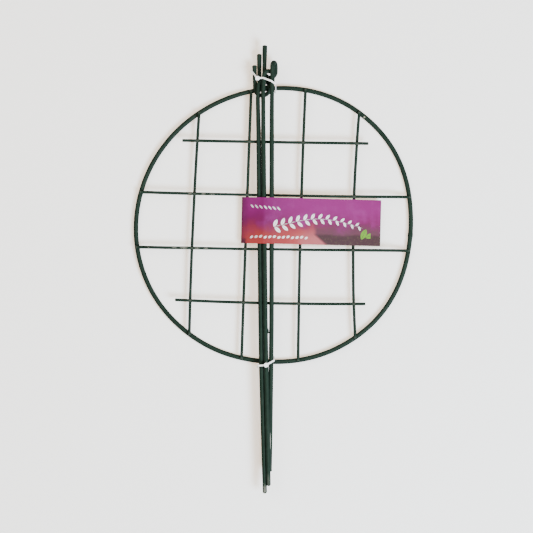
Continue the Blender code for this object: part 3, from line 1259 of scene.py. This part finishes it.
@dataclass
class GridFrame:
    """The hoop with its welded uprights and crossbars."""

    layout: Layout
    effects: Effects
    cross_bead: Triple = (0.0023, 0.0023, 0.0011)
    upright_bead: Triple = (0.0024, 0.0030, 0.0013)
    bar_bead: Triple = (0.0030, 0.0024, 0.0013)
    bead_inset: float = 0.0006
    weld_reach: float = 0.0042
    end_reach: float = 0.0055
    lap_reach: float = 0.0050
    lap_press: float = 0.0004
    press: float = 0.00045
    upset: float = 0.00045
    stake_reach: float = 0.012
    stake_press: float = 0.0002
    bundle_reach: float = 0.11
    waver: float = 0.00015
    # Pale spots on top of each weld: partly rubbed coat, partly painted highlight.
    rub_and_sheen: float = 0.0027
    rub_and_sheen_share: float = 0.16
    cut: float = 0.0021
    cut_share: float = 0.35
    hoop_points: int = 720
    seam_turn: float = math.radians(-4.5)
    nick_turn: float = math.radians(50.3)
    # Scrapes on the long crossbars: sideways place, stretch along and across, radius.
    scrapes: tuple = (
        (1, ((-0.1180, 4.0, 0.5, 0.0009), (-0.0985, 3.4, 0.7, 0.0011), (-0.0865, 4.2, 0.6, 0.0010))),
        (2, ((-0.1767, 1.8, 0.8, 0.0009), (-0.1400, 4.0, 0.6, 0.0010), (-0.1265, 6.0, 0.8, 0.0011),
             (-0.1075, 4.0, 0.8, 0.0010), (-0.0950, 3.4, 0.7, 0.0010))),
    )

    @cached_property
    def crossings(self) -> list[Crossing]:
        """Return each crossing's upright, crossbar and place."""
        found = []
        for upright in range(4):
            for bar in range(4):
                y = self.layout.crossbars[bar][1][1]
                for _ in range(4):
                    x = self.layout.upright_x(upright, y)
                    y = self.layout.crossbar_y(bar, x)
                found.append((upright, bar, x, y))
        return found

    def build(self) -> None:
        """Make the hoop, the grid's wires and their welds."""
        layout, centre = self.layout, self.layout.centre
        low_z = (layout.upright_z + layout.crossbar_z) / 2
        lap_z = (layout.hoop_z + layout.hoop_wire / 2 + layout.upright_z - layout.grid_wire / 2) / 2
        beads = [
            Lump(Vector((x, y, low_z)) - centre, self.cross_bead, 0.3, seed=upright * 5.0 + bar)
            for upright, bar, x, y in self.crossings
        ]
        laps = []
        for upright in range(4):
            for end, side in zip(layout.upright_line(upright, 2), (-1, 1)):
                place = Vector((end.x, layout.hoop_y(end.x, side), lap_z))
                laps.append((place, Vector((0, side, 0)), self.upright_bead, upright * 3.0 + side))
        for bar in LONG_BARS:
            for end, side in zip(layout.crossbar_line(bar, 2), (-1, 1)):
                place = Vector((layout.hoop_x(end.y, side), end.y, lap_z))
                laps.append((place, Vector((side, 0, 0)), self.bar_bead, bar * 7.0 + side))
        flats = []
        for place, way, size, seed in laps:
            beads.append(Lump(place - way * self.bead_inset - centre, size, seed=seed))
            pressed = Vector((place.x, place.y, layout.hoop_z)) - centre
            flats.append(Flat(pressed, self.lap_reach, self.lap_press, UP))
        self._build_hoop(flats)
        self._build_uprights()
        self._build_crossbars()
        # The welds' lighter green is a painted highlight on the raised beads.
        coat = Coating("weld_coat_painted_highlight", light=(0.021, 0.039, 0.028), roughness=0.34)
        self._dress("grid_welds", lumps_mesh("grid_welds", beads), coat)

    def _dress(self, name: str, mesh: bpy.types.Mesh, coat: Coating, node: str = "") -> None:
        """Make a coated piece on the grid's body.

        Args:
            name: The piece's name.
            mesh: Its mesh.
            coat: Its coat.
            node: The solid it stands for, if any.
        """
        Mount(Body.GRID, Slot.COATING, node).dress(name, mesh, coat.material(self.effects))

    def _build_hoop(self, flats: list[Flat]) -> None:
        """Make the hoop.

        Args:
            flats: Where the grid's ends are pressed onto it.
        """
        layout, centre = self.layout, self.layout.centre
        turns = [TAU * index / self.hoop_points for index in range(self.hoop_points + 1)]
        line = [layout.settled_hoop(turn) - centre for turn in turns]
        seam = layout.hoop_point(self.seam_turn) - centre
        nick = layout.hoop_point(self.nick_turn) * (1 - 0.0008 / layout.hoop_radius) - centre
        chips = (
            Chip((nick.x, nick.y, layout.hoop_z + layout.hoop_wire / 2), 0.0014),
            Chip((seam.x, seam.y, 0.0070), 0.0012, (0.6, 1.6, 1)),
        )
        swells = [
            layout.slim_spot(layout.hoop_slim_reach),
            Swell(seam, 0.0042, self.upset),
            Swell(seam + Vector((0, 0.0035, 0)), 0.0028, self.upset * 0.6),
        ]
        diameter = layout.hoop_wire + 2 * layout.thick_coat
        wire = Wire(line, diameter, closed=True, sides=26, flats=flats, swells=swells)
        coat = Coating("hoop_coat", bare=(0.50, 0.48, 0.36), chips=chips)
        self._dress("hoop", wire.mesh("hoop"), coat, "ring")

    def _build_wire(
        self, name: str, node: str, coat: Coating, line: Line, flats: list[Flat], seed: float
    ) -> None:
        """Make one wire of the grid.

        Args:
            name: The piece's name.
            node: The solid it stands for.
            coat: Its coat.
            line: Its centre line.
            flats: Where it is pressed.
            seed: Where its waver is read.
        """
        diameter = self.layout.grid_wire + 2 * self.layout.grid_coat
        wire = Wire(line, diameter, sides=18, domes=(0.45, 0.45), flats=flats, waver=self.waver, seed=seed)
        self._dress(name, wire.mesh(name), coat, node)

    def _welded(self, spots: Iterable[Vector], ends: Iterable[Vector]) -> tuple[list[Flat], list[Chip]]:
        """Return where a grid wire is pressed flat by its welds, and the pale spots on top of them.

        Args:
            spots: Its crossings.
            ends: Its welded ends.

        Returns:
            The flats and the pale spots on top, partly rubbed coat, partly painted highlight.
        """
        flats = [Flat(spot, self.weld_reach, self.press, UP) for spot in spots]
        flats += [Flat(end, self.end_reach, self.press, UP) for end in ends]
        top = UP * (self.layout.grid_wire / 2)
        # The pale spots on top are partly rubbed coat, partly painted highlight.
        return flats, [Chip(point + top, self.rub_and_sheen, share=self.rub_and_sheen_share) for point in (*spots, *ends)]

    def _build_uprights(self) -> None:
        """Make the four uprights."""
        layout, centre = self.layout, self.layout.centre
        for upright in range(4):
            line = [point - centre for point in layout.upright_line(upright)]
            z = layout.upright_z
            spots = [Vector((x, y, z)) - centre for wire, _, x, y in self.crossings if wire == upright]
            flats, _ = self._welded(spots, ())
            pressed, rubs_and_sheens = self._welded((), (line[0], line[-1]))
            chips = [Chip((-0.1135, 0.0080, 0.0112), 0.0008, (0.7, 1.6, 1))] if upright == 0 else []
            number = upright + 1
            coat = Coating(f"upright_coat_{number}", chips=(*chips, *rubs_and_sheens))
            name, node = f"upright_{number}", f"upright_wire_{number}"
            self._build_wire(name, node, coat, line, flats + pressed, upright * 1.7)

    def _build_crossbars(self) -> None:
        """Make the four crossbars."""
        layout, centre, z = self.layout, self.layout.centre, self.layout.crossbar_z
        for bar, (node, _) in enumerate(layout.crossbars):
            line = [point - centre for point in layout.crossbar_line(bar)]
            ends = (line[0], line[-1])
            spots = [Vector((x, y, z)) - centre for _, wire, x, y in self.crossings if wire == bar]
            flats, chips = self._welded(spots, ends if bar in LONG_BARS else ())
            y = layout.crossbar_y(bar, layout.bundle_middle)
            stake = layout.stake_at("leg_left", y)
            flats.append(Flat(Vector((stake.x, y, z)) - centre, self.stake_reach, self.stake_press, UP))
            if bar in LONG_BARS:
                side = Vector((0, -1 if bar == 1 else 1, 0))
                place = Vector((layout.bundle_middle, y, z)) - centre
                flats.append(Flat(place, self.bundle_reach, layout.grid_coat, side))
            else:
                chips += [Chip(end, self.cut, share=self.cut_share) for end in ends]
            for x, long, wide, radius in dict(self.scrapes).get(bar, ()):
                place = (x, layout.crossbar_y(bar, x + centre.x) - centre.y, z + layout.grid_wire / 2)
                chips.append(Chip(place, radius, (long, wide, 1)))
            coat = Coating(f"{node}_coat", chips=tuple(chips))
            self._build_wire(node.replace("crossbar", "bar"), node, coat, line, flats, bar * 2.3 + 9)


@dataclass
class Stakes:
    """The three hooked stakes."""

    layout: Layout
    effects: Effects
    # Height of a pale streak on the right stake: partly a scratch, partly a painted highlight line.
    scratch_and_highlight_y: float = -0.3047
    run_y: float = -0.1489
    tip_dome: float = 0.85
    cut_tip_dome: float = 0.35
    end_dome: float = 0.55

    def _coats(self) -> list[tuple[Body, float, Coating]]:
        """Return each stake's body, the dome of its tip and its coat."""
        # A long pale streak on the right stake: partly a scratch, partly a painted highlight line.
        scratch_and_highlight = self.layout.stake_at("leg_right", self.scratch_and_highlight_y) - self.layout.centre
        place = (scratch_and_highlight.x + 0.0002, scratch_and_highlight.y, scratch_and_highlight.z + self.layout.leg_wire / 2)
        worn = (Chip(place, 0.001, (0.55, 13.0, 3.0)),)
        left = Coating("leg_left_coat", worn_below=-0.3000, worn_reach=0.010, worn_share=0.80)
        middle = Coating("leg_middle_coat", worn_below=-0.2850, worn_reach=0.012, worn_share=0.22)
        right = Coating(
            "leg_right_coat",
            bare=(0.50, 0.50, 0.44),
            chips=worn,
            worn_below=-0.2650,
            worn_reach=0.016,
            worn_share=0.07,
        )
        return [
            (Body.LEFT_LEG, self.tip_dome, left),
            (Body.MIDDLE_LEG, self.tip_dome, middle),
            (Body.RIGHT_LEG, self.cut_tip_dome, right),
        ]

    def build(self) -> None:
        """Make the three stakes and the run of coating between two of them."""
        layout, centre = self.layout, self.layout.centre
        diameter = layout.leg_wire + 2 * layout.thick_coat
        for node, (body, dome, coat) in zip(layout.bends, self._coats()):
            line = [point - centre for point in layout.settled_line(node)]
            swells = [
                layout.slim_spot(layout.slim_reach),
                Swell(line[0], layout.tip_slim_reach, -layout.thick_coat * 0.9),
                *layout.full_spots(node),
            ]
            wire = Wire(line, diameter, sides=26, step=0.0010, domes=(dome, self.end_dome), swells=swells)
            name = node.replace("leg", "stake")
            Mount(body, Slot.COATING, node).dress(name, wire.mesh(name), coat.material(self.effects))
        spot = layout.stake_at("leg_middle", self.run_y) - centre + Vector((0.0030, 0, -0.0008))
        drops = [
            Lump(spot, (0.0014, 0.0034, 0.0013), 0.1, 0.35, 2.0),
            Lump(spot + Vector((0.0006, -0.0022, 0)), (0.0011, 0.0016, 0.0010), 0.0, 0.3, 5.0),
        ]
        coat = Coating("coating_run_coat").material(self.effects)
        Mount(Body.MIDDLE_LEG, Slot.COATING).dress("coating_run", lumps_mesh("coating_run", drops), coat)


@dataclass
class Ties:
    """The two nylon ties."""

    layout: Layout
    effects: Effects
    corner: float = 0.0018
    tooth_pitch: float = 0.0011
    tooth_depth: float = 0.00018
    step: float = 0.00028
    width_share: float = 0.46
    thickness_share: float = 0.47
    head_corner: float = 0.0021
    head_edge: float = 0.0007
    window_rim: float = 0.0014
    window_depth: float = 0.0009
    stub_height: float = 0.0018
    stub_sunk: float = 0.0006
    stub_width_share: float = 0.92
    stub_edge: float = 0.0002
    stub_tilt: float = math.radians(12)
    sharp: float = math.radians(42)
    # The band's cross-section, in half widths and half thicknesses, and its toothed points.
    section: tuple = (
        (-1.0, 0.55), (-0.85, 1.0), (-0.62, 1.0), (-0.52, 0.82), (0.52, 0.82), (0.62, 1.0), (0.85, 1.0),
        (1.0, 0.55), (1.0, -0.55), (0.85, -1.0), (0.55, -1.0), (-0.55, -1.0), (-0.85, -1.0), (-1.0, -0.55),
    )
    toothed: tuple = (10, 11)

    def _band(self, shape: bmesh.types.BMesh, corners: Line) -> Vector:
        """Sweep the band round its loop.

        Args:
            shape: The mesh to add to.
            corners: The corners of the loop, from the head and back to it.

        Returns:
            The way the band leaves the head.
        """
        head = corners[0]
        ahead = (corners[1] - head).normalized()
        behind = (corners[-2] - head).normalized()
        route = [head + ahead * 0.0005, *corners[1:-1], head + behind * 0.0005]
        points = resampled(filleted(route, [self.corner] * len(route), 0.0002), self.step)
        half_w = self.layout.band_width * self.width_share
        half_t = self.layout.band_thickness * self.thickness_share
        inside = head + Vector((0.006, 0, -0.010))
        rings = []
        travelled = 0.0
        for index, point in enumerate(points):
            before, after = points[max(index - 1, 0)], points[min(index + 1, len(points) - 1)]
            along = (after - before).normalized()
            travelled += (point - before).length
            wide = (Vector((0, 1, 0)) - along * along.y).normalized()
            out = along.cross(wide)
            if out.dot(point - inside) < 0:
                out = -out
            tooth = self.tooth_depth * (travelled / self.tooth_pitch % 1.0)
            ring = []
            for place, (across, depth) in enumerate(self.section):
                rise = depth * half_t + (tooth if place in self.toothed else 0.0)
                ring.append(shape.verts.new(point + wide * across * half_w + out * rise))
            rings.append(ring)
        shape.faces.new(list(reversed(rings[0])))
        for first, second in zip(rings, rings[1:]):
            join_rings(shape, first, second)
        shape.faces.new(rings[-1])
        return ahead

    @staticmethod
    def _round(shape: bmesh.types.BMesh, edges: Iterable, offset: float, segments: int) -> None:
        """Round edges off."""
        ways = {"segments": segments, "profile": 0.5, "affect": "EDGES"}
        bmesh.ops.bevel(shape, geom=list(edges), offset=offset, **ways)

    def _head(self, shape: bmesh.types.BMesh, middle: Vector, way: Vector) -> None:
        """Add the head, with its window and the cut end of the band standing in it.

        Args:
            shape: The mesh to add to.
            middle: Where the band's middle meets the head.
            way: The way the band leaves it.
        """
        layout = self.layout
        raised = middle + UP * ((layout.head_height - layout.band_thickness) / 2)
        turn = Matrix.Rotation(math.atan2(way.y, way.x), 4, "Z")
        size = Matrix.Diagonal((layout.head_length, layout.head_width, layout.head_height, 1))
        before = set(shape.faces)
        made = bmesh.ops.create_cube(shape, size=1.0, matrix=Matrix.Translation(raised) @ turn @ size)
        sides = {edge for vertex in made["verts"] for edge in vertex.link_edges}
        rises = {edge: abs(edge.verts[0].co.z - edge.verts[1].co.z) for edge in sides}
        tall = [edge for edge, rise in rises.items() if rise > layout.head_height / 2]
        self._round(shape, tall, self.head_corner, 4)
        faces = [face for face in shape.faces if face not in before]
        top = max(faces, key=lambda face: face.calc_center_median().z)
        bottom = min(faces, key=lambda face: face.calc_center_median().z)
        rim = [*top.edges, *bottom.edges]
        bmesh.ops.inset_individual(shape, faces=[top], thickness=self.window_rim, depth=0)
        for vertex in top.verts:
            vertex.co.z -= self.window_depth
        self._round(shape, rim, self.head_edge, 3)
        stub = Matrix.Translation(raised + UP * (layout.head_height / 2 - self.stub_sunk)) @ turn
        slope = Matrix.Rotation(self.stub_tilt, 4, "Y")
        width = layout.band_width * self.stub_width_share
        block = Matrix.Diagonal((layout.band_thickness, width, self.stub_height, 1))
        end = bmesh.ops.create_cube(shape, size=1.0, matrix=stub @ slope @ block)
        self._round(shape, {edge for vertex in end["verts"] for edge in vertex.link_edges}, self.stub_edge, 2)

    def build(self) -> None:
        """Make both ties."""
        nylon = Nylon().material(self.effects)
        layout = self.layout
        for place, line in (("top", layout.top_tie_line()), ("bottom", layout.bottom_tie_line())):
            corners = [point - layout.centre for point in line]
            shape = bmesh.new()
            self._head(shape, corners[0], self._band(shape, corners))
            mesh = shape_mesh(f"tie_{place}", shape)
            mesh.set_sharp_from_angle(angle=self.sharp)
            Mount(Body.GRID, Slot.NYLON, f"cable_tie_{place}").dress(f"tie_{place}", mesh, nylon)


@dataclass
class Sleeve:
    """The printed card sleeve, folded at the left and glued at the right."""

    layout: Layout
    rows: int = 26
    step: float = 0.0016
    folds: tuple = (0.0009, 0.0012, 0.018, 0.005, 0.006, 0.03, 0.0006, 0.0006)
    front_rise: float = 0.0008
    sag: float = 0.0002
    sag_x: float = -0.088
    sag_reach: float = 0.035
    sharp: float = math.radians(60)
    accents: tuple = (
        Leaf(0.0745, -0.0165, 1.15, 0.0085, 0.0040),
        Leaf(0.0835, -0.0185, 0.35, 0.0075, 0.0036),
    )

    def _sprig(self) -> tuple[Leaf, ...]:
        """Return the printed white marks: a long sprig, its stem and two rows of seeds."""
        leaves = []
        for index in range(12):
            turn = index * 0.36 - 0.6
            x, y = -0.052 + 0.0105 * index, -0.0040 + 0.0075 * math.sin(turn)
            slope = 0.0075 * 0.36 / 0.0105 * math.cos(turn)
            size = 0.0062 - 0.00022 * index
            leaves += [
                Leaf(x + 0.0015, y + size * 0.78, slope + 0.95, size, size * 0.42),
                Leaf(x + 0.0048, y - size * 0.72, slope - 0.95, size, size * 0.40),
                Leaf(x + 0.0050, y + slope * 0.0050, slope, 0.0064, 0.00055),
            ]
        for index in range(13):
            y = -0.0235 + 0.0005 * (index % 3)
            leaves.append(Leaf(-0.0835 + 0.0064 * index, y, 0.6, 0.0031, 0.0016))
        for index in range(7):
            y = 0.0200 - 0.0005 * index
            leaves.append(Leaf(-0.0835 + 0.0062 * index, y, -0.8, 0.0041, 0.0011))
        return tuple(leaves)

    def _loop(self) -> Line:
        """Return the card's cross-section at even steps, from its fold round its front."""
        corners = self.layout.card_corners()
        rounded = filleted([corners[-1], *corners, corners[0]], [0, *self.folds, 0], 0.0004)[1:-1]
        return resampled([*rounded, rounded[0]], self.step)[:-1]

    def build(self) -> None:
        """Make the sleeve."""
        layout, loop = self.layout, self._loop()
        high = layout.card_height
        pivot = Vector((layout.card_left + layout.card_width / 2, layout.card_low_edge + high / 2, 0))
        spin = Matrix.Rotation(layout.card_turn, 3, "Z")
        shape = bmesh.new()
        sheet = shape.verts.layers.float_vector.new("sheet_place")
        inner = shape.verts.layers.float.new("board_side")
        skins = []
        for side in (1, -1):
            skin = side * layout.card_thickness / 2
            rows = []
            for row in range(self.rows + 1):
                y = (row / self.rows - 0.5) * high
                ring = []
                for index, point in enumerate(loop):
                    along = (loop[(index + 1) % len(loop)] - loop[index - 1]).normalized()
                    front = point.z > layout.upright_z + self.front_rise
                    local = Vector((point.x - along.z * skin - pivot.x, y, point.z + along.x * skin))
                    if front:
                        local.y -= self.sag * math.exp(-(((local.x - self.sag_x) / self.sag_reach) ** 2))
                    vertex = shape.verts.new(pivot - layout.centre + spin @ local)
                    vertex[sheet] = Vector((point.x - pivot.x, y, 1.0 if front else 0.0))
                    vertex[inner] = 0.0 if side > 0 else 1.0
                    ring.append(vertex)
                rows.append(ring)
            for lower, upper in zip(rows, rows[1:]):
                join_rings(shape, lower, upper)
            skins.append(rows)
        outer, lining = skins
        for row in (0, -1):
            join_rings(shape, outer[row], lining[row])
        mesh = shape_mesh("card_sleeve", shape)
        mesh.set_sharp_from_angle(angle=self.sharp)
        finish = Print(leaves=self._sprig(), accents=self.accents).material()
        Mount(Body.SLEEVE, Slot.CARD, "label_card").dress("card_sleeve", mesh, finish)


@dataclass
class Studio:
    """The pale floor, the lights and the camera."""

    layout: Layout
    picture: int = 533
    pixel: float = 0.00141
    hoop_column: float = 274.8
    hoop_row: float = 225.1
    height: float = 5.0
    film: float = 36.0
    floor_size: float = 6.0
    paper: tuple[Triple, Triple] = ((0.79, 0.87, 0.935), (0.81, 0.89, 0.955))
    hidden_paper: Triple = (0.42, 0.42, 0.42)
    backlight: float = 1.1
    backlight_tint: Triple = (1.0, 0.76, 0.54)
    cool: Triple = (0.775, 0.90, 1.0)
    warm: Triple = (1.0, 0.90, 0.77)
    sky: Triple = (1.0, 0.88, 0.75)
    sky_strength: float = 0.35

    def _floor(self) -> None:
        """Make the pale floor, which glows a little for the camera alone."""
        shape = bmesh.new()
        bmesh.ops.create_grid(shape, x_segments=1, y_segments=1, size=self.floor_size)
        made, graph, shader, place = new_material("paper_floor")
        tone = graph.mix(graph.noise(place, 3, 2), *self.paper)
        seen = graph.add("ShaderNodeLightPath").outputs["Is Camera Ray"]
        graph.fill(
            shader,
            Base_Color=graph.mix(seen, self.hidden_paper, tone),
            Roughness=0.9,
            Specular_IOR_Level=0.1,
            Emission_Color=self.backlight_tint,
            Emission_Strength=graph.times(seen, self.backlight),
        )
        piece("floor", shape_mesh("floor", shape), made)

    def _light(self, name: str, place: Triple, size: float, power: float, tint: Triple) -> None:
        """Add an area light that faces the part.

        Args:
            name: Its name.
            place: Where it stands.
            size: Its side.
            power: Its power in watts.
            tint: Its colour.
        """
        data = bpy.data.lights.new(name, "AREA")
        data.color, data.size, data.energy = tint, size, power
        lamp = bpy.data.objects.new(name, data)
        lamp.location = place
        lamp.rotation_mode = "QUATERNION"
        lamp.rotation_quaternion = (-Vector(place)).to_track_quat("-Z", "Y")
        bpy.context.scene.collection.objects.link(lamp)

    def build(self) -> None:
        """Make the floor, the lights and the camera."""
        self._floor()
        self._light("key", (1.75, -1.3, 2.5), 1.4, 267, self.cool)
        self._light("fill", (-1.6, 1.4, 2.4), 2.2, 62, self.warm)
        self._light("top", (0.7, 0.5, 3.4), 1.2, 30, self.warm)
        world = bpy.data.worlds.new("studio")
        bpy.context.scene.world = world
        world.use_nodes = True
        sky = world.node_tree.nodes["Background"]
        Graph(world.node_tree).fill(sky, Color=self.sky, Strength=self.sky_strength)
        data = bpy.data.cameras.new("camera")
        data.sensor_width = self.film
        data.lens = self.film * (self.height - self.layout.crossbar_z) / (self.picture * self.pixel)
        data.clip_end = 50
        camera = bpy.data.objects.new("camera", data)
        half, centre = self.picture / 2, self.layout.centre
        aside, along = (half - self.hoop_column) * self.pixel, (self.hoop_row - half) * self.pixel
        camera.location = (aside - centre.x, along - centre.y, self.height)
        bpy.context.scene.collection.objects.link(camera)
        bpy.context.scene.camera = camera
        LOG.info("camera at %s, lens %.1f mm", tuple(round(v, 4) for v in camera.location), data.lens)


def main() -> None:
    """Build and dress the whole part, then the studio round it."""
    logging.basicConfig(level=logging.INFO, format="%(name)s %(message)s")
    noise.seed_set(WAVER_SEED)
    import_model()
    layout = Layout()
    effects = Effects()
    GridFrame(layout, effects).build()
    Stakes(layout, effects).build()
    Ties(layout, effects).build()
    Sleeve(layout).build()
    Studio(layout).build()
    bpy.context.view_layer.update()


if __name__ == "__main__":
    main()
